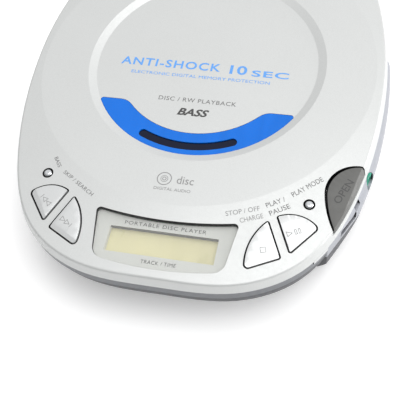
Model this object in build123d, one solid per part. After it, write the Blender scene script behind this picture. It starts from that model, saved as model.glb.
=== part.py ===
from build123d import *
from math import cos, hypot, pi, radians, sin
import os

# Portable compact-disc player, lying flat with the lid closed.
# Millimetres, +Z up.  The shapes are drawn about the spindle axis (x = y = 0, z = 0 on the table)
# and moved at the end, so that the origin is under the middle of the whole footprint.
# -Y is the front edge with the display, +Y the hinge side, +X the side with the jack.

# ---- driving dimensions ----
FRONT, REAR, HALF_WIDTH = 88.9, 67.0, 66.0      # reach of the lid's outline from the spindle
SIDE_BULGE = 1.6                                # how far the side panel stands outside that outline
LID_TOP = 29.0                                  # flat ring round the middle of the lid
CROWN_R, CROWN_SLOPE = 62.0, 0.068              # outside this radius the lid falls away
RECESS_R, RECESS_RIM_R, RECESS_DEPTH = 41.2, 44.2, 1.0
SKIN = 1.6                                      # wall of the lid
LID_EDGE = 22.95                                # lower edge of the lid
LIP_LOW, LIP_X = 21.2, 48.9                     # its lower lip at the right-hand front corner
OPEN_SILL = 25.1                                # bottom of the OPEN button's opening in the lid's side
LID_LEAN = 1.5                                  # how far the lid's side leans in towards the top
RIM_TOP, RIM_LOW = 22.6, 18.5                   # cabinet's side band
DECK_TOP, DECK_LOW = 19.5, 18.0                 # deck over the batteries, and the well's floor
WALL = 1.5
SHELL_LOW = 1.0                                 # underside of the bottom shell
SHELL_SECTIONS = [(RIM_LOW, 0.6), (16.0, 0.9), (13.0, 1.7), (8.0, 4.0), (4.0, 7.6), (1.0, 12.0)]

DISC_R, DISC_PLANE = 60.0, 21.5                 # a 120 mm disc rests at this height
WELL_R, WELL_WALL, WELL_FLOOR, WELL_RIM = DISC_R + 1.0, 1.2, 19.2, 22.4

HINGE_Y, HINGE_Z, BARREL_R = 63.6, 26.2, 2.6
BARREL_X, EAR_IN, EAR_OUT, HINGE_PIN_R = 24.0, 29.3, 35.0, 0.9

KEY_GAP, KEY_RAISE, KEY_TRAVEL = 0.6, 0.35, 0.45
KEY_FLANGE_LOW, KEY_FLANGE_TOP, KEY_FOOT = 24.7, 25.3, 24.2
ROUND_KEY_R, ROUND_HOLE_R = 1.5, 1.95
ROUND_KEY_X, ROUND_KEY_Y = 45.0, -55.2

LENS_TOP, LENS_THICK, MASK_THICK = 27.25, 0.5, 0.5
LCD_TOP, LCD_LOW = 24.8, 23.1
BOARD_TOP, BOARD_LOW = 22.9, 22.0               # control board in the lid
PANEL_TOP, PANEL_LOW = 21.6, 20.6               # inner panel of the lid
PANEL_RIM = KEY_FLANGE_LOW - KEY_TRAVEL - 0.15    # top of its rim, clear of a pressed key's flange

OPEN_DIR = (-0.934, 0.356)                      # the OPEN button slides this way
OPEN_TRAVEL, OPEN_GAP, OPEN_LOW = 1.0, 1.1, 23.3

SIDE_TOP, SIDE_LOW, SIDE_THICK = 22.5, 15.2, 1.9
SIDE_REAR_Y, SIDE_FRONT_Y = 14.0, -66.5
SHELF_TOP, SHELF_X = 22.9, 47.4
JACK_Z, JACK_BORE_R, JACK_RING_R, JACK_LENGTH = 19.0, 1.775, 2.9, 7.2
JACK_AT, JACK_OUT = (62.7, -37.6), (0.970, -0.242)
WHEEL_AT, WHEEL_R, WHEEL_Z, WHEEL_THICK = (53.4, -53.4), 4.8, 18.6, 2.4
HOLD_AT, HOLD_Z, SIDE_OUT = (58.9, -48.5), 20.9, (0.934, -0.356)

CELL_R, CELL_LENGTH, CELL_Z = 7.25, 49.5, 10.35
CELL_YS = (-71.9, -57.2)
DOOR_X, DOOR_FRONT, DOOR_REAR = 29.0, -81.5, -49.6

MECH_ANGLE = 135.0                              # direction in which the pickup travels outwards
LENS_START, PICKUP_TRAVEL = 24.0, 32.5
GEAR_MODULE = 0.5
RACK_PINION_TEETH, WHEEL_TEETH, MOTOR_TEETH = 14, 36, 10
ROD_R, ROD_Z, ROD_V = 1.5, 10.6, 12.5
RACK_PITCH_V, RACK_LOW, RACK_TOP = -19.0, 7.0, 9.2
CHASSIS_LOW, CHASSIS_TOP = 14.6, 16.0
GEAR_U = 26.0

MIDDLE_X = SIDE_BULGE / 2                       # middle of the footprint, from the spindle
MIDDLE_Y = (REAR - FRONT) / 2


# ---- helpers ----
def save(name, *solids):
    """Writes the solids of one node, moved so that the origin is under the middle of the footprint."""
    moved = [Pos(-MIDDLE_X, -MIDDLE_Y, 0) * s for s in solids]
    shape = moved[0] if len(moved) == 1 else Compound(children=moved)
    shape.label = name
    export_step(shape, f"parts/{name}.step")


def outline(inset, z, side=1.0):
    """The plan outline at a height, drawn in by inset at the front and by side times that elsewhere."""
    half = [(0, 67.0), (23, 66.8), (42, 62.6), (55.5, 50.5), (62.6, 31), (65.7, 10), (65.9, -10),
            (59.9, -48.5), (45.2, -76.7), (26, -87.1), (0, -88.9)]
    wide = 1 - inset * side / HALF_WIDTH
    deep = 1 - inset * (1 + side) / (FRONT + REAR)
    back = REAR - inset * side - REAR * deep
    right = [Vector(x * wide, y * deep + back, z) for x, y in half]
    left = [Vector(-p.X, p.Y, z) for p in reversed(right[1:-1])]
    return Face(Wire([Spline(*right, *left, periodic=True)]))


def rim_edges(body, above):
    """The long bent edges round the outline that lie above a height."""
    bent = body.edges().filter_by(GeomType.BSPLINE)
    return bent.filter_by(lambda e: e.length > 100 and e.bounding_box().min.Z > above)


def slab(inset, low, top, side=1.0):
    return extrude(outline(inset, low, side), top - low, dir=(0, 0, 1))


def drum(radius, low, top, x=0, y=0):
    return Pos(x, y, low) * Cylinder(radius, top - low, align=(Align.CENTER, Align.CENTER, Align.MIN))


def block(x0, x1, y0, y1, z0, z1):
    return Pos(x0, y0, z0) * Box(x1 - x0, y1 - y0, z1 - z0, align=(Align.MIN, Align.MIN, Align.MIN))


def rod_x(radius, x0, x1, y, z):
    return Pos((x0 + x1) / 2, y, z) * Rot(0, 90, 0) * Cylinder(radius, x1 - x0)


def cap(rise=0.0, low=10.0):
    """Everything under the lid's crowned top, moved up by rise."""
    edge = 100.0
    profile = Polyline((0, low), (edge, low), (edge, LID_TOP - (edge - CROWN_R) * CROWN_SLOPE + rise),
                       (CROWN_R, LID_TOP + rise), (RECESS_RIM_R, LID_TOP + rise),
                       (RECESS_R, LID_TOP - RECESS_DEPTH + rise), (0, LID_TOP - RECESS_DEPTH + rise),
                       close=True)
    return revolve(Plane.XZ * make_face(profile), Axis.Z)


def crown_z(x, y):
    """Height of the lid's outer surface outside the flat ring."""
    return LID_TOP - (hypot(x, y) - CROWN_R) * CROWN_SLOPE


def raise_up(sketch, low, top):
    return extrude(Pos(0, 0, low) * sketch, top - low, dir=(0, 0, 1))


def side_place(at, out, z):
    """A frame on the side wall: local x along the wall, local y up, local z straight out."""
    return Plane(origin=(at[0], at[1], z), x_dir=(-out[1], out[0], 0), z_dir=(out[0], out[1], 0))


def blade(start, end, width, drop, rise):
    """What a sloping cut takes off along the edge from start to end: width wide, drop deep at the edge."""
    run = Vector(end[0] - start[0], end[1] - start[1], 0).normalized()
    inward = Vector(-run.Y, run.X, 0) * -1
    mid = Vector((start[0] + end[0]) / 2, (start[1] + end[1]) / 2, 0)
    inner = mid + inward * width
    high = Vector(inner.X, inner.Y, crown_z(inner.X, inner.Y) + rise)
    low = Vector(mid.X, mid.Y, high.Z - drop)
    across = (low - high).normalized()
    up = across.cross(run)
    up = up if up.Z > 0 else up * -1
    return Plane(origin=high, x_dir=run, z_dir=up) * Pos(0, 0, 6) * Box(70, 60, 12) - inner_side(high, run, inward)


def inner_side(point, run, inward):
    """Everything on the inner side of an upright plane through point."""
    return Plane(origin=point, x_dir=run, z_dir=inward) * Pos(0, 0, 50) * Box(200, 100, 100)


def both_sides(solid):
    return [solid, mirror(solid, Plane.YZ)]


# ---- plan shapes of what shows on the lid ----
def crescent():
    """The window round the front of the recessed disc: a ring segment with a level rear edge."""
    face = Circle(RECESS_R) - Circle(32.2)
    face &= Pos(0, -45.2) * Rectangle(100, 50)
    inner = face.vertices().filter_by(lambda v: abs(v.X) < 30)
    face = fillet(inner, 6.0)
    return fillet(face.vertices().filter_by(lambda v: abs(v.X) > 34), 0.9)


def slot_arc(radius, half_width, half_angle):
    """A bent slot with round ends, centred on the front."""
    a = radians(half_angle)
    mid = ThreePointArc((-radius * sin(a), -radius * cos(a)), (0, -radius), (radius * sin(a), -radius * cos(a)))
    return SlotArc(mid, 2 * half_width)


def closed(*lines, corners=()):
    """A plan face inside the joined lines, with its corners rounded: (x, y, radius) for each."""
    face = make_face(list(lines))
    for x, y, radius in corners:
        near = face.vertices().sort_by_distance((x, y, 0))[0]
        face = fillet(near, radius)
    return face


def display_window():
    """Outline of the display's window, symmetric about the middle."""
    shoulder, heel = (24.2, -65.3), (21.6, -82.8)
    top = ThreePointArc((-shoulder[0], shoulder[1]), (0, -67.7), shoulder)
    bottom = ThreePointArc(heel, (0, -85.0), (-heel[0], heel[1]))
    sides = [Line(shoulder, heel), Line((-heel[0], heel[1]), (-shoulder[0], shoulder[1]))]
    corners = [(x * side, y, r) for side in (-1, 1) for x, y, r in ((*shoulder, 1.4), (*heel, 4.5))]
    return closed(top, sides[0], bottom, sides[1], corners=corners)


def outer_key(side):
    inner, tip, shoulder = (35.1, -61.0), (41.1, -73.8), (49.4, -63.2)
    face = closed(ThreePointArc(inner, (42.0, -59.4), shoulder), Line(shoulder, tip), Line(tip, inner),
                  corners=[(*inner, 0.9), (*tip, 0.9), (*shoulder, 1.8)])
    return face if side > 0 else mirror(face, Plane.YZ)


def inner_key(side):
    top, heel, toe = (33.0, -62.5), (27.7, -81.1), (39.0, -75.3)
    face = closed(ThreePointArc(top, (27.7, -71.9), heel), Line(heel, toe), Line(toe, top),
                  corners=[(*top, 0.8), (*toe, 1.0), (*heel, 1.6)])
    return face if side > 0 else mirror(face, Plane.YZ)


def open_plan():
    """Plan of the OPEN button's opening; its outer side runs out through the lid's side."""
    head, waist, tip = (60.4, -38.4), (49.3, -50.4), (54.4, -65.0)
    bow = ThreePointArc(head, (52.0, -42.0), waist)
    tail = TangentArc(waist, tip, tangent=bow % 1)
    edge = Polyline(tip, (75, -65.0), (75, -40.2), (62.6, -40.2), head)
    return closed(bow, tail, edge, corners=[(*head, 1.0)])


KEYS = {
    "skip_back_key": outer_key(-1), "skip_forward_key": inner_key(-1),
    "stop_key": inner_key(1), "play_key": outer_key(1),
}
KEY_FRONTS = {                                  # ends of each key's front edge, clockwise from above
    "skip_back_key": ((-41.1, -73.8), (-49.4, -63.2)), "skip_forward_key": ((-27.7, -81.1), (-39.0, -75.3)),
    "stop_key": ((39.0, -75.3), (27.7, -81.1)), "play_key": ((49.4, -63.2), (41.1, -73.8)),
}
KEY_FEET = {
    "skip_back_key": (-41.5, -66.0), "skip_forward_key": (-32.5, -73.5),
    "stop_key": (32.5, -73.5), "play_key": (41.5, -66.0),
    "bass_key": (-ROUND_KEY_X + 2.4, ROUND_KEY_Y + 0.6), "mode_key": (ROUND_KEY_X - 2.4, ROUND_KEY_Y + 0.6),
}


# ---- lid ----
def lid_cover():
    body = loft([outline(0, LID_EDGE), outline(LID_LEAN, LID_TOP + 1.0)], ruled=True) & cap()
    body = fillet(rim_edges(body, LID_EDGE + 2), 0.9)
    inner = slab(SKIN, LID_EDGE - 1, LID_TOP + 1) & cap(-SKIN)
    body -= inner
    # the hinge side: straight rear edge, notches for the ears and the barrel between them
    body -= block(-80, 80, HINGE_Y, 80, 0, 40)
    notch = block(BARREL_X + 0.3, EAR_OUT + 0.4, HINGE_Y - BARREL_R - 0.5, 80, 0, 40)
    body -= both_sides(notch)
    barrel = rod_x(BARREL_R, -BARREL_X, BARREL_X, HINGE_Y, HINGE_Z)
    web = block(-BARREL_X, BARREL_X, HINGE_Y - 4.0, HINGE_Y, HINGE_Z - 0.6, HINGE_Z + BARREL_R)
    body += barrel + web
    for x in (-1, 1):
        body -= rod_x(HINGE_PIN_R + 0.05, x * BARREL_X - 7, x * BARREL_X + 7, HINGE_Y, HINGE_Z)
    # openings
    body -= raise_up(offset(crescent(), 0.08), 20, 35)
    body -= raise_up(display_window(), 20, 35)
    for face in KEYS.values():
        body -= raise_up(face, 20, 35)
    for x in (-ROUND_KEY_X, ROUND_KEY_X):
        body -= drum(ROUND_HOLE_R, 20, 35, x, ROUND_KEY_Y)
    body -= raise_up(open_plan(), OPEN_SILL, 35) + raise_up(open_plan() & outline(SKIN + 0.1, 0), 20, 35)
    # a lower lip at the right-hand front corner
    body += (slab(0, LIP_LOW, LID_EDGE + 0.2) - slab(SKIN, 20, 30)) & block(LIP_X, 70, -80, SIDE_FRONT_Y - 0.4, 0, 40)
    # screw posts for the inner panel
    for x, y in LID_SCREWS:
        body += drum(1.9, PANEL_TOP, crown_z(x, y) - SKIN + 0.4, x, y) - drum(0.85, PANEL_TOP, 25.5, x, y)
    return body


LID_SCREWS = [(-26.2, -68.0), (26.2, -68.0), (-35.3, -57.2), (35.3, -57.2)]


def lid_front(inset, ring):
    """Plan of the lid's front pocket, outside the disc well."""
    face = outline(inset, 0)
    face -= Circle(ring)
    half = 46.4 - (inset - 2.6)
    box = Pos(0, -78) * Rectangle(2 * half, 50)
    return face & box


def lid_inner_panel():
    tray = raise_up(lid_front(2.6, 63.4), PANEL_LOW, PANEL_RIM)
    tray -= raise_up(lid_front(3.6, 64.4), PANEL_TOP, 30)
    tray &= cap(-SKIN - 0.15)
    for x, y in LID_SCREWS:
        tray -= drum(1.1, PANEL_LOW - 1, LID_TOP, x, y)
        tray -= drum(2.0, PANEL_LOW - 1, PANEL_LOW + 0.5, x, y)
    return tray


def lid_screw(x, y):
    return drum(1.8, PANEL_LOW - 0.35, PANEL_LOW + 0.45, x, y) + drum(0.8, PANEL_LOW, PANEL_LOW + 4.0, x, y)


def disc_window():
    top = LID_TOP - RECESS_DEPTH
    under = top - SKIN
    pane = raise_up(crescent(), under - 1.0, top - 0.05)
    flange = raise_up(offset(crescent(), 0.9), under - 1.0, under - 0.1)
    pane = pane + flange
    return pane - raise_up(slot_arc(37.6, 1.6, 25.2), 20, 35)


def window_insert():
    top = LID_TOP - RECESS_DEPTH
    return raise_up(slot_arc(37.6, 1.54, 25.2), top - 2.2, top - 0.5)


def lcd_lens():
    return raise_up(offset(display_window(), -0.1), LENS_TOP - LENS_THICK, LENS_TOP)


def lcd_mask():
    """Silver frame under the clear lens: a plate with a deep aperture over the glass."""
    top = LENS_TOP - LENS_THICK - 0.02
    low = top - MASK_THICK
    plate = raise_up(offset(display_window(), -0.15), low, top)
    well = block(-19.6, 19.6, -81.6, -69.8, LCD_TOP + 0.05, low + 0.01)
    aperture = block(-18.2, 18.2, -80.3, -71.1, 20, 35)
    return plate + well - aperture


def lcd_glass():
    return block(-20.6, 20.6, -82.4, -69.4, LCD_LOW, LCD_TOP)


def control_board():
    board = raise_up(lid_front(4.2, 65.2), BOARD_LOW, BOARD_TOP)
    for x, y in LID_SCREWS:
        board -= drum(2.6, 20, 24, x, y)
    return board


def tact_switch(x, y):
    return block(x - 1.9, x + 1.9, y - 1.9, y + 1.9, BOARD_TOP, 23.35) + drum(1.0, 23.3, 23.65, x, y)


def bevelled_key(name):
    """A key: raised, bevelled top in its hole, retaining flange and a foot over its switch."""
    hole = KEYS[name]
    cx, cy = KEY_FEET[name]
    body = raise_up(offset(hole, -KEY_GAP), KEY_FLANGE_LOW, 32) & cap(KEY_RAISE)
    body -= blade(*KEY_FRONTS[name], KEY_GAP + 1.5, 0.65, KEY_RAISE)
    body += raise_up(offset(hole, 0.35), KEY_FLANGE_LOW, KEY_FLANGE_TOP)
    return body + drum(1.6, KEY_FOOT, KEY_FLANGE_LOW + 0.2, cx, cy)


def round_key(name):
    foot_x, foot_y = KEY_FEET[name]
    x = ROUND_KEY_X if foot_x > 0 else -ROUND_KEY_X
    body = drum(ROUND_KEY_R, KEY_FLANGE_LOW, crown_z(x, ROUND_KEY_Y) + 0.5, x, ROUND_KEY_Y)
    body = fillet(body.edges().group_by(Axis.Z)[-1], 0.9)
    body += drum(2.5, KEY_FLANGE_LOW, KEY_FLANGE_TOP, x, ROUND_KEY_Y)
    body += drum(2.2, KEY_FLANGE_LOW, KEY_FLANGE_TOP, foot_x, foot_y)
    return body + drum(1.2, KEY_FOOT, KEY_FLANGE_LOW + 0.2, foot_x, foot_y)


# ---- cabinet ----
def side_sector(front, rear):
    """The stretch of the right-hand side that the side panel covers."""
    return block(40, 80, front, rear, 0, 40)


def side_band(outset, inset, low, top):
    return slab(-outset, low, top) - slab(inset, low - 1, top + 1)


def shelf_plan(grow):
    """Corner over the jack and the volume wheel."""
    face = outline(2.0 if grow == 0 else 1.0, 0) - Circle(WELL_R + WELL_WALL)
    return face & Pos((SHELF_X - grow + 90) / 2, -48.5) * Rectangle(90 - SHELF_X + grow, 36 + 2 * grow)


def upper_cabinet():
    body = slab(0.2, RIM_LOW, RIM_TOP) + slab(2.7, DECK_LOW, RIM_LOW)
    body = chamfer_low_edge(body)
    pocket = raise_up(outline(1.8, 0) - Circle(WELL_R + WELL_WALL), DECK_TOP, 40)
    body -= pocket
    body -= drum(90, WELL_RIM, RIM_TOP + 1) & slab(1.8, 20, 30)
    body -= drum(WELL_R, WELL_FLOOR, 40)
    # corner box over the jack
    body += raise_up(shelf_plan(0), DECK_LOW, SHELF_TOP)
    body -= raise_up(shelf_plan(-1.1), 10, SHELF_TOP - 1.0)
    # room for the lid's lower lip, and the side panel's place
    body -= side_band(5, SKIN + 0.3, LIP_LOW - 0.3, 40) & block(LIP_X - 0.3, 70, -80, SIDE_FRONT_Y, 0, 40)
    body -= side_band(5, SIDE_THICK + 0.05, 10, 40) & side_sector(SIDE_FRONT_Y - 0.1, SIDE_REAR_Y + 0.1)
    # hinge ears
    ear = block(EAR_IN, EAR_OUT, HINGE_Y - BARREL_R, HINGE_Y + BARREL_R, RIM_LOW, HINGE_Z)
    ear += rod_x(BARREL_R, EAR_IN, EAR_OUT, HINGE_Y, HINGE_Z)
    ear -= drum(WELL_R, 10, 40)
    ear -= rod_x(HINGE_PIN_R + 0.02, EAR_IN - 1, EAR_OUT - 1.0, HINGE_Y, HINGE_Z)
    for e in both_sides(ear):
        body += e
    # openings in the well's floor for the turntable and the pickup's lens
    body -= drum(15.5, 10, 30)
    body -= Rot(0, 0, MECH_ANGLE) * block(8, LENS_START + PICKUP_TRAVEL + 3.8, -8.5, 8.5, 10, 30)
    # posts for the screws from below, pilot holes for the dampers' screws, and the OPEN button's places
    for x, y in CASE_SCREWS:
        body += drum(2.6, 6.0, DECK_LOW + 0.2, x, y)
        body -= drum(1.05, 2.0, DECK_LOW - 1.0, x, y)
    for u, v in DAMPERS:
        x, y = turned(u, v)
        body -= drum(1.1, 17, 18.9, x, y)
    body += spring_stop()
    for s in (-1, 1):
        body -= open_peg(s, 1.35, 20, 25, OPEN_TRAVEL)
    return body


def chamfer_low_edge(body):
    low = body.edges().filter_by(lambda e: e.bounding_box().max.Z - RIM_LOW < 0.01 and e.length > 200)
    return chamfer(low.sort_by(Edge.length)[-1], 0.35)


CASE_SCREWS = [(-50.5, -48.0), (-54.3, -6.0), (46.0, 44.0), (6.0, 55.2), (39.5, -52.0)]


def turned(u, v):
    """A point of the mechanism's own frame (u outwards along the pickup's travel) in plan."""
    a = radians(MECH_ANGLE)
    return u * cos(a) - v * sin(a), u * sin(a) + v * cos(a)


def side_taper():
    """What thins the side panel's bulge away towards its front end."""
    start, end = Vector(61.4, -49.1, 0), Vector(52.4, -66.8, 0)
    run = (end - start).normalized()
    out = Vector(-run.Y, run.X, 0)
    return Plane(origin=start, x_dir=run, z_dir=out) * Pos(0, 0, 10) * Box(80, 100, 20)


def side_panel():
    low, top = SIDE_LOW, SIDE_TOP
    skin = loft([outline(-SIDE_BULGE, low), outline(-SIDE_BULGE + 0.5, low + 4.5), outline(0.45, top)])
    skin -= slab(SIDE_THICK, low - 1, top + 1)
    skin -= side_taper()
    skin &= side_sector(SIDE_FRONT_Y, SIDE_REAR_Y)
    skin -= side_place(JACK_AT, JACK_OUT, JACK_Z) * Cylinder(JACK_RING_R + 0.15, 12)
    skin -= side_place(WHEEL_AT, SIDE_OUT, WHEEL_Z) * Pos(0, 0, 6) * Box(9.2, 3.6, 12)
    skin -= side_place(HOLD_AT, SIDE_OUT, HOLD_Z) * Box(3.6, 1.9, 12)
    return skin



# ---- bottom shell ----
def hull(extra=0.0):
    """The bottom shell's outer form, drawn in by extra."""
    sections = [outline(i + extra, z, 0.5) for z, i in reversed(SHELL_SECTIONS)]
    return loft(sections) - block(-90, 90, -100, 90, -10, SHELL_LOW)


def hull_inside():
    """The room inside the bottom shell."""
    room = loft([outline(i + WALL * 1.15, z + 0.02, 0.5 + 0.35 / (i + 1)) for z, i in reversed(SHELL_SECTIONS)])
    return room - block(-90, 90, -100, 90, -10, SHELL_LOW + WALL)


def bottom_shell():
    outer = hull()
    bulge = loft([outline(9.5, 3.0, 0.5), outline(2.4, 8.0, 0.5), outline(-0.8, 12.0), outline(-SIDE_BULGE, 15.1)])
    outer += (bulge & side_sector(SIDE_FRONT_Y, SIDE_REAR_Y)) - side_taper()
    body = outer - hull_inside()
    body -= door_space(0.25)
    # battery box walls, board posts and screw posts
    body += block(-31.5, 31.5, -49.0, -47.9, SHELL_LOW + WALL - 0.1, 17.6)
    for x in (-30.9, 29.7):
        body += block(x, x + 1.2, -81.0, -48.0, SHELL_LOW + WALL - 0.1, 12.0) & hull(0.4)
    for x, y in BOARD_POSTS:
        body += drum(2.4, SHELL_LOW + 0.5, 3.2, x, y)
    for x, y in CASE_SCREWS:
        body += drum(3.4, SHELL_LOW + 0.5, 5.9, x, y)
        body -= drum(1.25, 0, 7, x, y) + drum(2.3, 0, 3.4, x, y)
    for x, y in FEET:
        body -= drum(4.05, 0, SHELL_LOW + 0.6, x, y)
    body -= dc_place() * Cylinder(2.6, 12)
    return body - block(40, 80, SIDE_FRONT_Y - 0.1, SIDE_REAR_Y + 0.1, SIDE_LOW - 0.1, 40)


BOARD_POSTS = [(-42, -40), (42, -40), (-42, 42), (42, 38)]
FEET = [(-38, -66), (38, -66), (-40, 44), (40, 44)]


def door_space(grow):
    return block(-DOOR_X - grow, DOOR_X + grow, DOOR_FRONT - grow, DOOR_REAR + grow, -5, 6.2)


def battery_door():
    door = (hull() & door_space(0)) - hull_inside()
    for i in range(5):
        door -= block(-8, 8, -73 + 1.6 * i, -72.2 + 1.6 * i, 0, SHELL_LOW + 0.4)
    return door


def rubber_foot(x, y):
    foot = drum(4.0, 0, SHELL_LOW + 0.5, x, y)
    return fillet(foot.edges().group_by(Axis.Z)[0], 0.4)


def case_screw(x, y):
    return drum(2.1, 2.0, 3.35, x, y) + drum(0.95, 3.3, 14.0, x, y) - drum(0.7, 1.9, 2.7, x, y)


# ---- power ----
def cell(y):
    body = rod_x(CELL_R, -CELL_LENGTH / 2, CELL_LENGTH / 2, y, CELL_Z)
    tip = 1 if y == CELL_YS[0] else -1
    return body + rod_x(2.7, tip * CELL_LENGTH / 2 - 0.5, tip * CELL_LENGTH / 2 + 1.0, y, CELL_Z)


def contact_plate(side, y):
    x = side * (CELL_LENGTH / 2 + 1.35)
    return block(x - 0.2, x + 0.2, y - 4.5, y + 4.5, 6.4, 15.0)


def contact_spring(side, y):
    turns, pitch = 3, 0.85
    start = side * (CELL_LENGTH / 2 + 0.3)
    wire = Helix(pitch, pitch * turns, 3.2)
    coil = sweep(Plane(wire @ 0, z_dir=wire % 0) * Circle(0.25), wire, is_frenet=True)
    return Pos(start, y, CELL_Z) * Rot(0, side * 90, 0) * coil


def dc_place():
    return side_place((-62.2, -34.0), (-0.970, -0.242), 14.0)


def dc_jack():
    body = dc_place() * Pos(0, 0, -7.6) * Box(7.5, 6.5, 9.0)
    body -= dc_place() * Pos(0, 0, -6.1) * Cylinder(2.1, 7.0)
    return body + dc_place() * Pos(0, 0, -7.1) * Cylinder(0.85, 7.0)


# ---- boards ----
def main_board():
    board = block(-46, 46, -46, 50, 3.2, 4.4)
    board = fillet(board.edges().filter_by(Axis.Z), 12)
    for x, y in BOARD_POSTS:
        board -= drum(1.1, 3, 5, x, y)
    for x, y in CASE_SCREWS:
        board -= drum(3.8, 3, 5, x, y)
    return board


def main_chips():
    chips = [block(-24, -10, -40, -26, 4.4, 6.0), block(8, 18, -42, -34, 4.4, 5.8), block(22, 34, -30, -20, 4.4, 6.0)]
    chips += [block(-40, -33, y, y + 6, 4.4, 5.6) for y in (-28, -18)]
    return [fillet(c.edges().filter_by(Axis.Z), 0.3) for c in chips]


def capacitors():
    return [drum(2.5, 4.4, 10.4, x, y) for x, y in ((36, -40), (30, -41), (-34, -41), (-41, -34.5))]


def jack_board():
    plan = (outline(4.2, 0) - Circle(64.0)) & Pos(55.5, -46) * Rectangle(14.0, 28)
    return raise_up(plan, 14.9, 16.0)


def headphone_jack():
    place = side_place(JACK_AT, JACK_OUT, JACK_Z)
    body = place * Pos(0, 0, -JACK_LENGTH / 2 - 2.7) * Box(6.2, 5.6, JACK_LENGTH)
    body += place * Pos(0, 0, -1.2) * Cylinder(JACK_RING_R, 3.4)
    return body - place * Pos(0, 0, -JACK_LENGTH / 2 + 0.6) * Cylinder(JACK_BORE_R, JACK_LENGTH + 3)


def volume_pot():
    x, y = WHEEL_AT
    return drum(1.9, 16.0, WHEEL_Z - WHEEL_THICK / 2 - 0.15, x, y) + drum(0.8, 16.5, 20.2, x, y)


def volume_wheel():
    x, y = WHEEL_AT
    half = WHEEL_THICK / 2
    wheel = drum(WHEEL_R, WHEEL_Z - half, WHEEL_Z + half, x, y)
    for i in range(24):
        a = radians(15 * i)
        wheel -= drum(0.35, 10, 30, x + WHEEL_R * cos(a), y + WHEEL_R * sin(a))
    return wheel - drum(0.85, 10, 30, x, y)


def hold_switch():
    place = side_place(HOLD_AT, SIDE_OUT, HOLD_Z)
    return place * Pos(0, 0, -4.0) * Box(3.6, 1.3, 2.6)


def hold_knob():
    place = side_place(HOLD_AT, SIDE_OUT, HOLD_Z)
    return place * Pos(0.85, 0, -0.9) * Box(1.7, 1.5, 3.0)


def lid_switch():
    return block(-52.6, -49.4, -58.0, -53.4, DECK_TOP, 22.2) + drum(0.7, 22.0, 22.9, -51.0, -55.7)


# ---- OPEN button ----
def open_peg(s, radius, low, top, slide=0.0):
    """A guide peg under the OPEN button, s from -1 to 1 along the side, or the slot that it slides in."""
    x, y = 54.2 + 5.0 * s * 0.356, -49.6 + 5.0 * s * 0.934
    peg = drum(radius, low, top, x, y)
    if slide:
        for share in (0.5, 1.0):
            peg += drum(radius, low, top, x + OPEN_DIR[0] * slide * share, y + OPEN_DIR[1] * slide * share)
    return peg


def open_button():
    """The button fills the opening but for the room that it slides into; its side is a steep chamfer."""
    shift = Pos(-OPEN_DIR[0] * OPEN_GAP, -OPEN_DIR[1] * OPEN_GAP)
    plan = offset(open_plan(), -0.25) & shift * open_plan()
    inside = outline(SKIN + 0.35, 0)
    body = raise_up(plan & inside, OPEN_LOW, 35) + raise_up(plan, OPEN_SILL + 0.3, 35)
    body &= loft([outline(0.1, LID_EDGE), outline(LID_LEAN + 0.1, LID_TOP + 1.0)], ruled=True)
    body &= cap(-0.1)
    # steep chamfer: from its upper line down to the sill
    body -= blade_between((54.7, -61.9, 27.7), (59.9, -41.5, 27.9), (61.7, -44.1, OPEN_SILL + 0.2))
    body -= raise_up(offset(open_plan(), -2.4) & outline(4.6, 0), OPEN_LOW - 1, 25.3)
    for s in (-1, 1):
        body += open_peg(s, 1.2, 22.0, 26.0)
    return body


def blade_between(start, end, low):
    """Everything on the outer side of the plane through three points."""
    a, b, c = Vector(*start), Vector(*end), Vector(*low)
    normal = (b - a).cross(c - a).normalized()
    normal = normal if normal.X > 0 else normal * -1
    return Plane(origin=a, x_dir=b - a, z_dir=normal) * Pos(0, 0, 10) * Box(120, 120, 20)


def spring_frame():
    """On the button's inner side, local z pointing inwards along the slide."""
    return Plane(origin=(50.2, -48.4, 25.2), x_dir=(0, 0, 1), z_dir=(OPEN_DIR[0], OPEN_DIR[1], 0))


def spring_stop():
    stop = spring_frame() * Pos(0, 0, 5.7) * Box(3.4, 4.0, 1.4)
    foot = spring_frame() * Pos(-4.4, 0, 5.7) * Box(5.6, 4.0, 1.4)
    return stop + foot


def open_spring():
    turns, pitch = 4, 1.1
    wire = Helix(pitch, pitch * turns, 1.1)
    coil = sweep(Plane(wire @ 0, z_dir=wire % 0) * Circle(0.2), wire, is_frenet=True)
    return spring_frame() * Pos(0, 0, 0.45) * coil


# ---- hinge ----
def hinge_pin(side):
    return rod_x(HINGE_PIN_R, side * (BARREL_X - 6 if side > 0 else EAR_OUT - 1.1),
                 side * (EAR_OUT - 1.1 if side > 0 else BARREL_X - 6), HINGE_Y, HINGE_Z)


def lid_spring(side):
    turns, pitch = 4, 0.95
    wire = Helix(pitch, pitch * turns, 1.7)
    coil = sweep(Plane(wire @ 0, z_dir=wire % 0) * Circle(0.3), wire, is_frenet=True)
    start = BARREL_X + 0.75
    return Pos(side * start, HINGE_Y, HINGE_Z) * Rot(0, side * 90, 0) * coil


# ---- mechanism, in its own frame: u outwards along the travel, v across ----
def gear(teeth, low, top, bore, phase=0.0):
    """A spur gear with straight-flanked teeth and backlash."""
    pitch_r = teeth * GEAR_MODULE / 2
    root, tip = pitch_r - 0.6, pitch_r + 0.45
    step = 2 * pi / teeth
    points = []
    for i in range(teeth):
        for share, radius in ((-0.27, root), (-0.11, tip), (0.11, tip), (0.27, root)):
            a = (i + share) * step + phase
            points.append((radius * cos(a), radius * sin(a)))
    body = raise_up(make_face(Polyline(*points, close=True)), low, top)
    return body - drum(bore, low - 1, top + 1)


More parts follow.
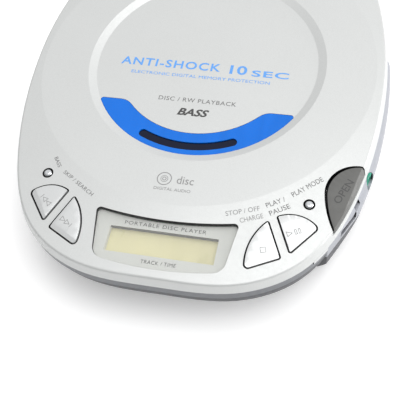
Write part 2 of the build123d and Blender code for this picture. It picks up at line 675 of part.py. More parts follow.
GEAR_V = RACK_PITCH_V - GEAR_MODULE * RACK_PINION_TEETH / 2 - 0.08
MOTOR_REACH = GEAR_MODULE * (WHEEL_TEETH + MOTOR_TEETH) / 2 + 0.08
MOTOR_DIR = 220.0
MOTOR_U = GEAR_U + MOTOR_REACH * cos(radians(MOTOR_DIR))
MOTOR_V = GEAR_V + MOTOR_REACH * sin(radians(MOTOR_DIR))
DAMPERS = [(-16, 19), (-16, -19), (56, 20), (56, -20)]


def mech(solid):
    return Rot(0, 0, MECH_ANGLE) * solid


def mechanism_chassis():
    plate = block(-21, 63.2, -24, 24, CHASSIS_LOW, CHASSIS_TOP) + block(4, 34, -38, -23, CHASSIS_LOW, CHASSIS_TOP)
    plate = fillet(plate.edges().filter_by(Axis.Z), 2.0)
    plate -= block(10.5, 60.9, -15.8, 15.8, 10, 20)
    plate -= drum(4.0, 10, 20)
    for u, v in DAMPERS:
        plate -= drum(2.2, 10, 20, u, v)
    for v in (-ROD_V, ROD_V):
        for u0, u1 in ((4.5, 10.3), (61.0, 63.2)):
            plate += block(u0, u1, v - 2.6, v + 2.6, 8.6, CHASSIS_LOW + 0.1)
        plate -= Pos(34.0, v, ROD_Z) * Rot(0, 90, 0) * Cylinder(ROD_R + 0.02, 56.4)
    plate -= drum(1.6, 10, 20, MOTOR_U, MOTOR_V)
    plate += drum(0.9, 4.8, CHASSIS_LOW + 0.1, GEAR_U, GEAR_V)
    return mech(plate)


def guide_rod(v):
    return mech(Pos(34.0, v, ROD_Z) * Rot(0, 90, 0) * Cylinder(ROD_R, 56.0))


def damper(u, v):
    body = drum(3.3, 13.1, CHASSIS_LOW - 0.03, u, v) + drum(3.3, CHASSIS_TOP + 0.03, 17.95, u, v)
    body += drum(2.1, 14, 17, u, v)
    return mech(body - drum(1.15, 10, 20, u, v))


def damper_screw(u, v):
    return mech(drum(2.4, 12.2, 13.05, u, v) + drum(1.0, 13.0, 18.7, u, v))


def spindle_motor():
    return drum(8.8, 6.0, 14.55) + drum(3.6, 14.5, 16.3) + drum(1.0, 5.2, 20.8)


def turntable():
    body = drum(5.2, 16.6, 20.5) + drum(14.2, 20.3, DISC_PLANE) + drum(7.35, 21.4, 24.3)
    body = fillet(body.edges().group_by(Axis.Z)[-1], 1.0)
    body -= drum(1.02, 10, 20.9)
    for i in range(3):
        body -= ball(i, 1.28)
    return body


def ball(i, radius):
    a = radians(120 * i + 30)
    return Pos(6.35 * cos(a), 6.35 * sin(a), 23.0) * Sphere(radius)


def pickup_body():
    u0, u1 = LENS_START - 11.5, LENS_START + 4
    body = block(u0, u1, -15.5, 15.5, 7.6, 14.0) + block(u0 + 2, u1, -6.5, 6.5, 13.9, 17.2)
    body = chamfer(body.edges().filter_by(Axis.Z), 0.8)
    body -= drum(9.6, 0, 20)
    for v in (-ROD_V, ROD_V):
        body -= Pos(LENS_START, v, ROD_Z) * Rot(0, 90, 0) * Cylinder(ROD_R + 0.06, 60)
    return mech(body)


def objective_lens():
    x = LENS_START
    holder = drum(3.0, 17.2, 19.9, x, 0)
    return mech(holder + (Pos(x, 0, 17.6) * Sphere(3.1) & drum(2.0, 18, 22, x, 0)))


def pickup_rack():
    """Toothed strip on the pickup's side; its teeth face the drive gear."""
    pitch = pi * GEAR_MODULE
    points = []
    for i in range(-22, 3):
        c = GEAR_U + (i + 0.5) * pitch                # a tooth space is opposite the gear at rest
        for du, dv in ((-0.27, 0.6), (-0.11, -0.45), (0.11, -0.45), (0.27, 0.6)):
            points.append((c + du * pitch, RACK_PITCH_V + dv))
    points += [(points[-1][0], RACK_PITCH_V + 2.0), (points[0][0], RACK_PITCH_V + 2.0)]
    bar = raise_up(make_face(Polyline(*points, close=True)), RACK_LOW, RACK_TOP)
    arm = block(LENS_START - 11.5, LENS_START + 1, RACK_PITCH_V + 1.8, -15.5, 7.6, RACK_TOP)
    return mech(bar + arm)


def drive_gear():
    small = gear(RACK_PINION_TEETH, 6.6, RACK_TOP + 0.2, 1.0, pi / 2)
    return mech(Pos(GEAR_U, GEAR_V, 0) * (small + gear(WHEEL_TEETH, 5.4, 6.65, 1.0, radians(MOTOR_DIR))))


def motor_pinion():
    phase = radians(MOTOR_DIR) + pi + pi / MOTOR_TEETH
    return mech(Pos(MOTOR_U, MOTOR_V, 0) * gear(MOTOR_TEETH, 5.3, 7.1, 0.62, phase))


def sled_motor():
    body = drum(5.4, 7.4, CHASSIS_LOW - 0.02, MOTOR_U, MOTOR_V) + drum(0.6, 5.2, 7.6, MOTOR_U, MOTOR_V)
    return mech(body)


# ---- write the nodes ----
os.makedirs("parts", exist_ok=True)
save("lid_cover", lid_cover())
save("lid_inner_panel", lid_inner_panel())
save("lid_screws", *[lid_screw(x, y) for x, y in LID_SCREWS])
save("disc_window", disc_window())
save("window_insert", window_insert())
save("lcd_lens", lcd_lens())
save("lcd_mask", lcd_mask())
save("lcd_glass", lcd_glass())
save("control_board", control_board())
save("key_switches", *[tact_switch(x, y) for x, y in KEY_FEET.values()])
for key in KEYS:
    save(key, bevelled_key(key))
save("bass_key", round_key("bass_key"))
save("mode_key", round_key("mode_key"))
save("upper_cabinet", upper_cabinet())
save("side_panel", side_panel())
save("bottom_shell", bottom_shell())
save("battery_door", battery_door())
save("rubber_feet", *[rubber_foot(x, y) for x, y in FEET])
save("case_screws", *[case_screw(x, y) for x, y in CASE_SCREWS])
save("battery_cells", *[cell(y) for y in CELL_YS])
save("contact_plates", contact_plate(1, CELL_YS[0]), contact_plate(-1, CELL_YS[1]))
save("contact_springs", contact_spring(-1, CELL_YS[0]), contact_spring(1, CELL_YS[1]))
save("dc_jack", dc_jack())
save("main_board", main_board())
save("main_chips", *main_chips())
save("capacitors", *capacitors())
save("jack_board", jack_board())
save("headphone_jack", headphone_jack())
save("volume_pot", volume_pot())
save("volume_wheel", volume_wheel())
save("hold_switch", hold_switch())
save("hold_knob", hold_knob())
save("lid_switch", lid_switch())
save("open_button", open_button())
save("open_spring", open_spring())
save("hinge_pins", hinge_pin(1), hinge_pin(-1))
save("lid_springs", lid_spring(1), lid_spring(-1))
save("mechanism_chassis", mechanism_chassis())
save("guide_rods", guide_rod(-ROD_V), guide_rod(ROD_V))
save("dampers", *[damper(u, v) for u, v in DAMPERS])
save("damper_screws", *[damper_screw(u, v) for u, v in DAMPERS])
save("spindle_motor", spindle_motor())
save("turntable", turntable())
save("hub_balls", *[ball(i, 1.2) for i in range(3)])
save("pickup_body", pickup_body())
save("objective_lens", objective_lens())
save("pickup_rack", pickup_rack())
save("drive_gear", drive_gear())
save("motor_pinion", motor_pinion())
save("sled_motor", sled_motor())
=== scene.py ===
from math import cos, hypot, radians, sin, tau
import bmesh
import bpy
from mathutils import Matrix, Vector


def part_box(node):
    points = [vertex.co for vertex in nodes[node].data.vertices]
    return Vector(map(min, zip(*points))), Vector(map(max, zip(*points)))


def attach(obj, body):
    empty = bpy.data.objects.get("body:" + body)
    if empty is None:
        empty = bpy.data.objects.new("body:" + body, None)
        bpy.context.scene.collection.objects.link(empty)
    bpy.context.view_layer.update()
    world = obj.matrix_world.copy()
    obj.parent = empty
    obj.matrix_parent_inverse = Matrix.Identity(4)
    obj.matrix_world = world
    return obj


# Looks of a portable disc player.  Lengths given in millimetres are measured from the spindle axis
# (x, y) and from the table (z), and place() turns them into the row frame, in metres.

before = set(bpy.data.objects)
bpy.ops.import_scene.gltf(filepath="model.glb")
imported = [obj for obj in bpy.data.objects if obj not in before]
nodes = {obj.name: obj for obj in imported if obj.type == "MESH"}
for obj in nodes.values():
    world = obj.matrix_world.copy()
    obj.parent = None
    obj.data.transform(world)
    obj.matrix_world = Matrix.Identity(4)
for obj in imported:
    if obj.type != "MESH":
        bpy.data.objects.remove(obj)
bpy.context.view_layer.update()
MM = 0.001
SPINDLE = Vector((-0.8, 10.95, 0.0))            # the spindle axis in the row frame

RING_Z, RECESS_Z = 29.0, 28.0                   # flat ring of the lid, and its recessed middle
RECESS_R, RECESS_RIM_R = 41.2, 44.2
CROWN_R, CROWN_SLOPE = 62.0, 0.068              # outside this radius the lid falls away
KEY_RAISE = 0.35                                # the keys' tops stand this far above the lid


def place(x, y, z):
    return (Vector((x, y, z)) + SPINDLE) * MM


def lid_z(x, y):
    """Height of the lid's surface."""
    r = hypot(x, y)
    if r < RECESS_R:
        return RECESS_Z
    if r < RECESS_RIM_R:
        return RECESS_Z + (r - RECESS_R) / (RECESS_RIM_R - RECESS_R)
    return RING_Z - max(r - CROWN_R, 0) * CROWN_SLOPE


def key_z(x, y):
    return lid_z(x, y) + KEY_RAISE


# ---- materials ----
def set_range(node, start, end, low, high):
    """Sets a Map Range node to turn start..end into low..high."""
    for key, number in (("From Min", start), ("From Max", end), ("To Min", low), ("To Max", high)):
        node.inputs[key].default_value = number


class Graph:
    """A node material under construction, in object coordinates."""

    def __init__(self, name):
        self.mat = bpy.data.materials.new(name)
        self.mat.use_nodes = True
        self.tree = self.mat.node_tree
        self.shader = self.tree.nodes["Principled BSDF"]
        self.coord = self.tree.nodes.new("ShaderNodeTexCoord").outputs["Object"]

    def link(self, a, b):
        self.tree.links.new(a, b)

    def stretched(self, scale):
        """Object coordinates, stretched."""
        node = self.tree.nodes.new("ShaderNodeMapping")
        node.inputs["Scale"].default_value = scale
        self.link(self.coord, node.inputs["Vector"])
        return node.outputs["Vector"]

    def noise(self, scale, detail=3.0, vector=None):
        node = self.tree.nodes.new("ShaderNodeTexNoise")
        node.inputs["Scale"].default_value = scale
        node.inputs["Detail"].default_value = detail
        self.link(vector or self.coord, node.inputs["Vector"])
        return node.outputs["Fac"]

    def cells(self, scale):
        node = self.tree.nodes.new("ShaderNodeTexVoronoi")
        node.inputs["Scale"].default_value = scale
        self.link(self.coord, node.inputs["Vector"])
        return node.outputs["Color"]

    def spread(self, value, low, high, start=0.3, end=0.7):
        """Maps value from start..end to low..high."""
        node = self.tree.nodes.new("ShaderNodeMapRange")
        self.link(value, node.inputs["Value"])
        set_range(node, start, end, low, high)
        return node.outputs["Result"]

    def mix(self, fac, a, b):
        """Mixes two colours, each a tuple or a socket."""
        node = self.tree.nodes.new("ShaderNodeMix")
        node.data_type = "RGBA"
        self.link(fac, node.inputs[0])
        for socket, colour in ((node.inputs[6], a), (node.inputs[7], b)):
            if isinstance(colour, tuple):
                socket.default_value = (*colour, 1.0)
            else:
                self.link(colour, socket)
        return node.outputs[2]

    def bump(self, height, strength, distance):
        node = self.tree.nodes.new("ShaderNodeBump")
        node.inputs["Strength"].default_value = strength
        node.inputs["Distance"].default_value = distance
        self.link(height, node.inputs["Height"])
        self.link(node.outputs["Normal"], self.shader.inputs["Normal"])

    def set(self, **values):
        for key, value in values.items():
            self.shader.inputs[key.replace("_", " ")].default_value = value


def scaled(colour, factor):
    return tuple(min(c * factor, 1.0) for c in colour)


def moulded(name, colour, rough, grain, depth, shade, flakes=0.0, **constant):
    """Moulded or painted plastic: mottling, fine grain, uneven gloss, and metal flakes in a paint."""
    g = Graph(name)
    patch = g.spread(g.noise(45, 4), 0, 1)
    base = g.mix(patch, scaled(colour, shade), colour)
    if flakes:
        sparkle = g.spread(g.cells(9000), 0, 1, 0.1, 0.9)
        base = g.mix(sparkle, base, scaled(colour, 1 + flakes))
    g.link(base, g.shader.inputs["Base Color"])
    g.link(g.spread(g.noise(700, 3), rough * 0.9, rough * 1.12), g.shader.inputs["Roughness"])
    g.bump(g.noise(grain, 2), depth, 0.00004)
    g.set(**constant)
    return g.mat


def metal(name, colour, rough=0.28, brush=(1, 1, 1)):
    """Plated or drawn metal with fine lines along one direction and dull patches."""
    g = Graph(name)
    lines = g.noise(1500, 3, g.stretched(brush))
    dull = g.spread(g.noise(160, 4), 0, 1, 0.4, 0.75)
    g.link(g.mix(dull, colour, scaled(colour, 0.72)), g.shader.inputs["Base Color"])
    g.link(g.spread(lines, rough * 0.75, rough * 1.35), g.shader.inputs["Roughness"])
    g.bump(lines, 0.25, 0.00002)
    g.set(Metallic=1.0)
    return g.mat


def clear(name, colour, rough, **constant):
    """Clear or tinted plastic with faint wiping marks."""
    g = Graph(name)
    smear = g.noise(220, 5, g.stretched((1, 0.25, 1)))
    g.link(g.mix(g.spread(smear, 0, 1), scaled(colour, 0.9), colour), g.shader.inputs["Base Color"])
    g.link(g.spread(smear, rough, rough * 2.2), g.shader.inputs["Roughness"])
    g.bump(g.noise(90, 2), 0.08, 0.00003)
    g.set(**constant)
    return g.mat


def circuit(name, colour):
    """Solder mask over tracks, with tinned pads."""
    g = Graph(name)
    brick = g.tree.nodes.new("ShaderNodeTexBrick")
    brick.inputs["Scale"].default_value = 260
    brick.inputs["Mortar Size"].default_value = 0.06
    g.link(g.coord, brick.inputs["Vector"])
    tracks = g.mix(brick.outputs["Fac"], colour, scaled(colour, 1.7))
    dots = g.tree.nodes.new("ShaderNodeTexVoronoi")
    dots.inputs["Scale"].default_value = 330
    g.link(g.coord, dots.inputs["Vector"])
    pad = g.spread(dots.outputs["Distance"], 1, 0, 0.10, 0.16)
    g.link(g.mix(pad, tracks, (0.62, 0.60, 0.55)), g.shader.inputs["Base Color"])
    g.link(g.spread(g.noise(900), 0.25, 0.45), g.shader.inputs["Roughness"])
    g.bump(brick.outputs["Fac"], 0.3, 0.00005)
    return g.mat


BAND_START = 0.0125                             # where the cells' copper-coloured band begins, in metres


def jacket(name):
    """A cell's printed sleeve: dark, with a copper-coloured band near the terminal."""
    g = Graph(name)
    axis = g.tree.nodes.new("ShaderNodeSeparateXYZ")
    g.link(g.coord, axis.inputs[0])
    band = g.spread(axis.outputs["X"], 0, 1, BAND_START, BAND_START + 0.0002)
    colours = g.mix(band, (0.02, 0.02, 0.025), (0.55, 0.26, 0.10))
    g.link(colours, g.shader.inputs["Base Color"])
    g.link(g.spread(g.noise(300), 0.2, 0.35), g.shader.inputs["Roughness"])
    g.set(Metallic=0.5)
    return g.mat


# colour, roughness, grain's scale and depth, shade of the mottling, strength of the flakes
SILVER = moulded("silver paint", (0.55, 0.56, 0.555), 0.40, 6500, 0.30, 0.965, 0.10, Metallic=0.35)
KEY_SILVER = moulded("key silver", (0.58, 0.59, 0.59), 0.32, 6000, 0.25, 0.97, 0.08, Metallic=0.40)
CHROME = metal("round key chrome", (0.72, 0.74, 0.76), 0.16)
CABINET = moulded("cabinet grey", (0.150, 0.157, 0.170), 0.42, 5200, 0.45, 0.93, 0.08, Metallic=0.25)
PANEL = moulded("side panel grey", (0.30, 0.31, 0.34), 0.38, 5200, 0.40, 0.94, 0.08, Metallic=0.3)
SHELL = moulded("shell grey", (0.058, 0.061, 0.068), 0.50, 3600, 0.70, 0.90)
OPEN_GREY = moulded("open button grey", (0.105, 0.105, 0.10), 0.48, 4200, 0.55, 0.93)
# the real black parts' plastic, also used below as painted shade on the walls of openings, in gaps and
# under the lid's edge
BLACK_AND_SHADE = moulded("black plastic and painted shade", (0.012, 0.012, 0.013), 0.45, 4200, 0.50, 0.80)
GREEN = moulded("jack green", (0.03, 0.36, 0.24), 0.33, 5000, 0.30, 0.90)
RUBBER = moulded("foot rubber", (0.018, 0.018, 0.018), 0.80, 2600, 0.90, 0.80)
ACETAL = moulded("gear white", (0.72, 0.70, 0.62), 0.42, 4200, 0.35, 0.95)
MASK = moulded("display frame silver", (0.53, 0.54, 0.51), 0.50, 7000, 0.35, 0.95, 0.10, Metallic=0.2)
WINDOW = clear("blue window", (0.001, 0.15, 0.66), 0.12, Specular_IOR_Level=0.25, Coat_Weight=0.08)
SLOT = clear("navy slot", (0.0008, 0.004, 0.022), 0.10, Specular_IOR_Level=0.2, Coat_Weight=0.05)
LENS = clear("display lens", (0.80, 0.81, 0.80), 0.03, Alpha=0.12, Coat_Weight=0.5)
LCD = clear("liquid crystal", (0.70, 0.655, 0.36), 0.22, Coat_Weight=0.3)
OPTIC = clear("objective lens", (0.30, 0.42, 0.62), 0.04, Coat_Weight=1.0, Metallic=0.3)
STEEL = metal("plated steel", (0.60, 0.60, 0.60), 0.30, (1, 8, 1))
CAN = metal("motor can", (0.50, 0.50, 0.51), 0.34, (1, 1, 10))
BRASS = metal("contact plating", (0.74, 0.70, 0.58), 0.25, (6, 1, 1))
BOARD = circuit("circuit board", (0.008, 0.11, 0.035))
CELL = jacket("cell sleeve")

WIDE_KEYS = ["skip_back_key", "skip_forward_key", "stop_key", "play_key"]
ROUND_KEYS = ["bass_key", "mode_key"]
MATERIALS = {
    SILVER: ["lid_cover"],
    KEY_SILVER: WIDE_KEYS,
    CHROME: ROUND_KEYS + ["hub_balls"],
    CABINET: ["upper_cabinet"],
    PANEL: ["side_panel"],
    SHELL: ["bottom_shell", "battery_door"],
    OPEN_GREY: ["open_button"],
    BLACK_AND_SHADE: ["lid_inner_panel", "volume_wheel", "hold_knob", "hold_switch", "volume_pot", "lid_switch",
            "dc_jack", "pickup_body", "turntable", "main_chips", "key_switches"],
    GREEN: ["headphone_jack"],
    WINDOW: ["disc_window"],
    SLOT: ["window_insert"],
    LENS: ["lcd_lens"],
    MASK: ["lcd_mask"],
    LCD: ["lcd_glass"],
    OPTIC: ["objective_lens"],
    BOARD: ["control_board", "main_board", "jack_board"],
    CAN: ["capacitors", "spindle_motor", "sled_motor"],
    RUBBER: ["rubber_feet", "dampers"],
    STEEL: ["lid_screws", "case_screws", "damper_screws", "hinge_pins", "lid_springs", "open_spring",
            "guide_rods", "mechanism_chassis"],
    BRASS: ["contact_plates", "contact_springs"],
    ACETAL: ["drive_gear", "pickup_rack", "motor_pinion"],
    CELL: ["battery_cells"],
}
for mat, names in MATERIALS.items():
    for name in names:
        mesh = nodes[name].data
        mesh.materials.clear()
        mesh.materials.append(mat)


# ---- black insides: the lid's unpainted underside, and painted shade on the walls of openings, in gaps and under the lid's edge ----
HOLES = WIDE_KEYS + ROUND_KEYS + ["lcd_lens", "open_button"]
WIDE_KEY_SHADE_BELOW, ROUND_KEY_SHADE_BELOW = 25.8, 26.5    # below these heights the keys are painted black, as painted shade in the gaps round them
DECK = 19.0                                     # the cabinet's level faces above this lie under the lid
LID_SIDE_R = 50.0                               # the lid's outer sides all lie beyond this radius
LID_HOLE_REACH, PANEL_HOLE_REACH = 26.0, 12.0   # farthest wall of an opening from the middle of its part
LEVEL, UPRIGHT, TOWARDS = 0.5, 0.8, 0.3         # limits on a normal's z, and on its part towards a hole
REAR_WALL = -0.7                                # a normal's y, on the rear wall of the display's aperture


def middle(name):
    low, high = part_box(name)
    return (low + high) / 2


def repaint(name, mat, chosen):
    """Gives mat to the faces that chosen(centre, normal) picks, where centres are in metres."""
    mesh = nodes[name].data
    mesh.materials.append(mat)
    last = len(mesh.materials) - 1
    for face in mesh.polygons:
        if chosen(face.center, face.normal):
            face.material_index = last


hole_middles = [middle(name) for name in HOLES]
side_middles = [middle(name) for name in ("headphone_jack", "volume_wheel", "hold_knob")]
panel_low, panel_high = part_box("side_panel")


def lid_inside_and_hole_shade(centre, normal):
    """The lid's unpainted underside and the inner face of its skirt, and the walls of its openings, black
    as painted shade.
    """
    if abs(normal.z) > LEVEL:
        return normal.z < 0
    flat = Vector((centre.x, centre.y, 0)) - SPINDLE * MM
    if normal.dot(flat) < 0 or flat.length < LID_SIDE_R * MM:
        return True
    for hole in hole_middles:
        across = Vector((hole.x - centre.x, hole.y - centre.y, 0))
        if across.length < LID_HOLE_REACH * MM and normal.dot(across) > 0:
            return True
    return False


def cabinet_painted_shade(centre, normal):
    """Painted shade: black on the deck, the well and the rim under the lid, so the seam under the lid's
    edge shows dark, and on what lies behind the side panel.
    """
    if centre.z > DECK * MM and normal.z > LEVEL:
        return True
    return centre.x > panel_low.x and panel_low.y < centre.y < panel_high.y


def panel_hole_shade(centre, normal):
    """Painted shade: black on the walls of the side panel's openings, and on its inner face round them."""
    if abs(normal.z) > UPRIGHT:
        return False
    for hole in side_middles:
        across = hole - centre
        across.z = 0
        if across.length < PANEL_HOLE_REACH * MM and normal.dot(across.normalized()) > TOWARDS:
            return True
    return False


# the lid's underside is unpainted; the walls of its openings are black as painted shade
repaint("lid_cover", BLACK_AND_SHADE, lid_inside_and_hole_shade)
# painted shade: the keys' sides below these heights are black, for the dark gaps round the keys
for name in WIDE_KEYS:
    repaint(name, BLACK_AND_SHADE, lambda centre, normal: centre.z < WIDE_KEY_SHADE_BELOW * MM)
for name in ROUND_KEYS:
    repaint(name, BLACK_AND_SHADE, lambda centre, normal: centre.z < ROUND_KEY_SHADE_BELOW * MM)
# painted shade: the cabinet's faces under the lid and behind the side panel are black
repaint("upper_cabinet", BLACK_AND_SHADE, cabinet_painted_shade)
# painted shade: the side panel's openings are black inside
repaint("side_panel", BLACK_AND_SHADE, panel_hole_shade)
# painted shade: the rear wall of the display's aperture is black, for the dark line over the display
repaint("lcd_mask", BLACK_AND_SHADE, lambda centre, normal: normal.y < REAR_WALL)

# ---- soft edges on the moulded parts ----
SAME_PLACE, NO_LENGTH = 1e-7, 1e-8              # one point, and an edge without length, in metres
SHARP = radians(35)


def soften(name, width, segments):
    """Joins the node's faces and rounds its sharp edges."""
    node = nodes[name]
    weld = node.modifiers.new("weld", "WELD")
    weld.merge_threshold = SAME_PLACE
    bevel = node.modifiers.new("soft edges", "BEVEL")
    bevel.width = width * MM
    bevel.segments = segments
    bevel.limit_method = "ANGLE"
    bevel.angle_limit = SHARP


SOFT_EDGES = {name: (0.25, 3) for name in WIDE_KEYS}      # width in mm and segments
SOFT_EDGES |= {"open_button": (0.2, 3), "hold_knob": (0.15, 2), "battery_door": (0.15, 2),
               "volume_wheel": (0.1, 2)}
for name, (width, segments) in SOFT_EDGES.items():
    soften(name, width, segments)


# ---- pieces made here ----
def add_piece(name, bm, mat, body):
    mesh = bpy.data.meshes.new(name)
    bmesh.ops.recalc_face_normals(bm, faces=bm.faces)
    bm.to_mesh(mesh)
    bm.free()
    mesh.materials.append(mat)
    piece = bpy.data.objects.new(name, mesh)
    bpy.context.scene.collection.objects.link(piece)
    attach(piece, body)


def ink(name, colour):
    """Screen-printed ink with slightly uneven cover."""
    g = Graph(name)
    patchy = g.spread(g.noise(2200, 4), 0, 1, 0.25, 0.6)
    g.link(g.mix(patchy, scaled(colour, 1.25), colour), g.shader.inputs["Base Color"])
    g.link(g.spread(g.noise(900), 0.45, 0.55), g.shader.inputs["Roughness"])
    g.bump(g.noise(3000), 0.3, 0.00001)
    return g.mat


BLUE_INK = ink("blue ink", (0.10, 0.30, 0.70))
GREY_INK = ink("grey ink", (0.13, 0.13, 0.13))
PALE_INK = ink("pale grey ink", (0.22, 0.22, 0.22))
DARK_INK = ink("dark ink", (0.045, 0.045, 0.045))
INK_LOW, INK_HIGH = -0.01, 0.03                 # printed ink stands this far round the surface, mm


def glyphs(words, shear=0.0, bold=0.0, spacing=1.0):
    """Flat letter faces as (points, faces), in units of the font's size."""
    curve = bpy.data.curves.new("letters", "FONT")
    curve.body = words
    curve.shear = shear
    curve.offset = bold
    curve.space_character = spacing
    curve.resolution_u = 3
    temp = bpy.data.objects.new("letters", curve)
    bpy.context.scene.collection.objects.link(temp)
    shaped = temp.evaluated_get(bpy.context.evaluated_depsgraph_get())
    mesh = bpy.data.meshes.new_from_object(shaped)
    points = [(v.co.x, v.co.y) for v in mesh.vertices]
    faces = [tuple(p.vertices) for p in mesh.polygons]
    bpy.data.objects.remove(temp)
    bpy.data.curves.remove(curve)
    bpy.data.meshes.remove(mesh)
    return points, faces


def thicken(points, faces, surface):
    """A closed thin solid over flat faces; surface(u, v, h) gives the row-frame place of a point."""
    bm = bmesh.new()
    top = [bm.verts.new(surface(u, v, INK_HIGH)) for u, v in points]
    for face in faces:
        if len(set(face)) > 2:
            bm.faces.new([top[i] for i in face])
    bmesh.ops.remove_doubles(bm, verts=bm.verts, dist=SAME_PLACE)
    bmesh.ops.dissolve_degenerate(bm, dist=NO_LENGTH, edges=bm.edges)
    made = bmesh.ops.extrude_face_region(bm, geom=list(bm.faces))["geom"]
    drop = surface(0, 0, INK_LOW) - surface(0, 0, INK_HIGH)
    bmesh.ops.translate(bm, verts=[v for v in made if isinstance(v, bmesh.types.BMVert)], vec=drop)
    return bm


def on_surface(at, angle, height):
    """Maps u, v round a place on the lid, turned by angle, on to a surface of that height."""
    c, s = cos(radians(angle)), sin(radians(angle))

    def surface(u, v, h):
        x, y = at[0] + c * u - s * v, at[1] + s * u + c * v
        return place(x, y, height(x, y) + h)
    return surface


def lettering(name, words, size, surface, mat, body="lid", slot="silver_lid", **style):
    """Printed words, size = (width, height) in mm of the whole line's box."""
    points, faces = glyphs(words, **style)
    us, vs = [p[0] for p in points], [p[1] for p in points]
    wide, high = max(us) - min(us), max(vs) - min(vs)
    mu, mv = (max(us) + min(us)) / 2, (max(vs) + min(vs)) / 2
    points = [((u - mu) * size[0] / wide, (v - mv) * size[1] / high) for u, v in points]
    add_piece(name, thicken(points, faces, surface), mat, body)


SHARPEST_MITRE = 0.35                           # keeps the points of narrow corners short


def stroke(line, width, closed):
    """Flat faces of a line of even width with mitred corners."""
    count = len(line)
    line = [Vector(point) for point in line]
    points, faces = [], []
    for i, here in enumerate(line):
        before = line[i - 1] if closed or i else 2 * here - line[1]
        after = line[(i + 1) % count] if closed or i < count - 1 else 2 * here - line[-2]
        a, b = (here - before).normalized(), (after - here).normalized()
        normal = Vector((-(a.y + b.y), a.x + b.x)).normalized()
        reach = width / 2 / max(normal.dot(Vector((-a.y, a.x))), SHARPEST_MITRE)
        points += [tuple(here + normal * reach), tuple(here - normal * reach)]
    for i in range(count if closed else count - 1):
        j = (i + 1) % count
        faces.append((2 * i, 2 * i + 1, 2 * j + 1, 2 * j))
    return points, faces


def drawn(name, strokes, surface, body):
    """A printed figure made of strokes: (points, width, closed)."""
    points, faces = [], []
    for line, width, closed in strokes:
        more, near = stroke(line, width, closed)
        faces += [tuple(i + len(points) for i in face) for face in near]
        points += more
    add_piece(name, thicken(points, faces, surface), PALE_INK, body)


def ring(cx, cy, radius, steps=48):
    return [(cx + radius * cos(tau * i / steps), cy + radius * sin(tau * i / steps)) for i in range(steps)]


# ---- printing on the lid ----
LINES = [
    # name, words, middle of the line, its width and height, angle in degrees, ink, style
    ("print_feature", "ANTI-SHOCK", (-13.2, -1.9), (38.0, 3.7), 0, BLUE_INK,
     {"spacing": 1.15, "bold": 0.018}),
    ("print_feature_time", "10", (12.6, -2.1), (6.4, 4.2), 0, BLUE_INK, {"bold": 0.02}),
    ("print_feature_unit", "SEC", (24.4, -3.0), (13.6, 2.9), 0, BLUE_INK,
     {"spacing": 1.1, "bold": 0.018}),
    ("print_memory", "ELECTRONIC DIGITAL MEMORY PROTECTION", (-1.2, -6.9), (52, 1.35), 0, BLUE_INK, {}),
    ("print_formats", "DISC / RW PLAYBACK", (0.2, -17.9), (28.5, 1.8), 0, GREY_INK, {"spacing": 1.1}),
    ("print_bass_mark", "BASS", (-0.2, -23.2), (11.4, 3.2), 0, DARK_INK,
     {"shear": 0.3, "bold": 0.03}),
    ("print_bass", "BASS", (-42.6, -50.6), (4.4, 1.35), -55, GREY_INK, {}),
    ("print_skip", "SKIP / SEARCH", (-33.0, -57.9), (14.6, 1.4), -32, GREY_INK, {"spacing": 1.1}),
    ("print_stop", "STOP / OFF", (24.2, -60.8), (11.2, 1.7), 19, PALE_INK, {}),
    ("print_charge", "CHARGE", (27.4, -62.9), (7.6, 1.7), 22, PALE_INK, {}),
    ("print_play", "PLAY /", (34.2, -56.1), (6.5, 1.75), 30, GREY_INK, {}),
    ("print_pause", "PAUSE", (35.9, -58.5), (7.1, 1.75), 32, GREY_INK, {}),
    ("print_mode", "PLAY MODE", (43.6, -48.9), (11.7, 1.8), 40, GREY_INK, {}),
]
for name, words, at, size, angle, mat, style in LINES:
    lettering(name, words, size, on_surface(at, angle, lid_z), mat, **style)

# a plain disc sign on the ring
sign = on_surface((-0.5, -53.2), 0, lid_z)
drawn("print_disc_sign", [(ring(-3.4, 0.9, 2.4), 0.3, True), (ring(-3.4, 0.9, 0.6), 0.25, True),
                          (ring(-3.4, 0.9, 1.2), 0.18, True)], sign, "lid")
lettering("print_disc", "disc", (5.8, 3.0), on_surface((3.4, -52.2), 0, lid_z), PALE_INK)
lettering("print_audio", "DIGITAL AUDIO", (12.6, 1.1), on_surface((-0.4, -56.2), 0, lid_z), PALE_INK)

# ---- signs on the keys ----
TRIANGLE = [(-0.95, 0.85), (0.75, 0.0), (-0.95, -0.85)]
PEN = 0.17                                      # width of the signs' lines


def triangle(dx, flip=1):
    """One stroke round a triangle that points right, or left when flip is -1."""
    return [(flip * x + dx, y) for x, y in TRIANGLE], PEN, True


KEY_SIGNS = [
    # name, body, middle of the sign, angle in degrees, strokes
    ("sign_skip_back", "skip_back", (-42.1, -66.0), -40,
     [([(-2.6, 0.85), (-2.6, -0.85)], PEN, False), triangle(-1.2, -1), triangle(0.9, -1)]),
    ("sign_skip_forward", "skip_forward", (-33.2, -72.7), -30,
     [triangle(-1.2), triangle(0.9), ([(2.3, 0.85), (2.3, -0.85)], PEN, False)]),
    ("sign_stop", "stop", (32.8, -73.3), 18,
     [([(-0.85, -0.85), (0.85, -0.85), (0.85, 0.85), (-0.85, 0.85)], PEN, True)]),
    ("sign_play", "play", (41.5, -65.9), 26,
     [triangle(-1.3),
      ([(0.35, -0.8), (0.95, -0.8), (0.95, 0.8), (0.35, 0.8)], PEN, True),
      ([(1.6, -0.8), (2.2, -0.8), (2.2, 0.8), (1.6, 0.8)], PEN, True)]),
]
for name, body, at, angle, strokes in KEY_SIGNS:
    drawn(name, strokes, on_surface(at, angle, key_z), body)

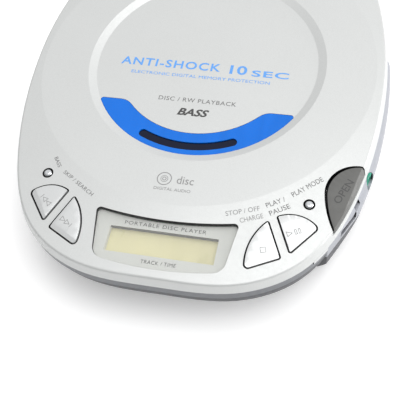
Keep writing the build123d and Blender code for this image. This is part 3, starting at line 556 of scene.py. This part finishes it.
# ---- display ----
FRAME_PRINT_Z = 26.73                           # height of the printing on the frame under the lens
DISPLAY_WORDS = [
    # name, words, middle of the line, its width and height, spacing of the letters
    ("print_display_line", "PORTABLE DISC PLAYER", (0, -69.3), (27.5, 1.3), 1.15),
    ("print_track_time", "TRACK / TIME", (0.6, -82.4), (11.6, 1.3), 1.1),
]
for name, words, at, size, spacing in DISPLAY_WORDS:
    lettering(name, words, size, on_surface(at, 0, lambda x, y: FRAME_PRINT_Z), DARK_INK,
              slot="mask", spacing=spacing)

# ---- OPEN button ----
OPEN_DROP = 0.1                                 # this far under the lid's surface lies the button's print
lettering("print_open", "OPEN", (9.6, 2.5),
          on_surface((55.3, -48.6), 66, lambda x, y: lid_z(x, y) - OPEN_DROP),
          DARK_INK, "open_button", "open_grey")

# ---- camera, lights, floor ----
CAMERA_AT = Vector((52.9, -160.65, 229.9)) * MM
AZIMUTH, ELEVATION, ROLL = radians(21.31), radians(58.93), radians(-11.40)
back = Vector((sin(AZIMUTH) * cos(ELEVATION), -cos(AZIMUTH) * cos(ELEVATION), sin(ELEVATION)))
level = Vector((cos(AZIMUTH), sin(AZIMUTH), 0))
over = back.cross(level)
right = level * cos(ROLL) + over * sin(ROLL)
up = over * cos(ROLL) - level * sin(ROLL)
turn = Matrix((right, up, back)).transposed().to_4x4()
data = bpy.data.cameras.new("camera")
data.lens, data.sensor_width = 64.35, 36.0
data.clip_start, data.clip_end = 0.01, 20.0
camera = bpy.data.objects.new("camera", data)
camera.matrix_world = Matrix.Translation(CAMERA_AT) @ turn
bpy.context.scene.collection.objects.link(camera)
bpy.context.scene.camera = camera


def area_light(name, at, aim, size, power):
    light = bpy.data.lights.new(name, "AREA")
    light.shape = "RECTANGLE"
    light.size, light.size_y = size
    light.energy = power
    lamp = bpy.data.objects.new(name, light)
    lamp.location = at
    lamp.rotation_euler = (Vector(aim) - Vector(at)).to_track_quat("-Z", "Y").to_euler()
    bpy.context.scene.collection.objects.link(lamp)


area_light("overhead softbox", (0.25, 0.12, 1.3), (0, -0.05, 0), (0.9, 0.9), 7.0)
area_light("right softbox", (1.0, 0.12, 0.20), (0, 0, 0.02), (0.7, 0.36), 6.0)

SKY_TOWARDS = (0.25, 0.42, 0.87)                # direction of the brightest part of the surroundings
SKY_START, SKY_END = -0.2, 0.9                  # how far towards it the light begins and stops to grow
SKY_DIM, SKY_BRIGHT = 0.22, 1.10
world = bpy.data.worlds.new("studio")
world.use_nodes = True
sky = world.node_tree
shade = sky.nodes["Background"]
shade.inputs["Strength"].default_value = 1.0
around = sky.nodes.new("ShaderNodeTexCoord")
slope = sky.nodes.new("ShaderNodeVectorMath")
slope.operation = "DOT_PRODUCT"
slope.inputs[1].default_value = SKY_TOWARDS
sky.links.new(around.outputs["Generated"], slope.inputs[0])
fade = sky.nodes.new("ShaderNodeMapRange")
set_range(fade, SKY_START, SKY_END, SKY_DIM, SKY_BRIGHT)
sky.links.new(slope.outputs["Value"], fade.inputs["Value"])
sky.links.new(fade.outputs["Result"], shade.inputs["Color"])
bpy.context.scene.world = world
bpy.context.scene.view_settings.view_transform = "Standard"

FLOOR_HALF = 3.0                                # half the floor's side, in metres
paper = Graph("floor")
tone = paper.mix(paper.spread(paper.noise(3), 0, 1), (0.90, 0.90, 0.905), (0.92, 0.92, 0.92))
paper.link(tone, paper.shader.inputs["Base Color"])
paper.set(Roughness=0.9, Emission_Color=(1.0, 1.0, 1.0, 1.0), Emission_Strength=0.22)
floor_mesh = bpy.data.meshes.new("floor")
corners = [(FLOOR_HALF * x, FLOOR_HALF * y, 0) for x, y in ((-1, -1), (1, -1), (1, 1), (-1, 1))]
floor_mesh.from_pydata(corners, [], [(0, 1, 2, 3)])
floor_mesh.materials.append(paper.mat)
floor = bpy.data.objects.new("floor", floor_mesh)
bpy.context.scene.collection.objects.link(floor)
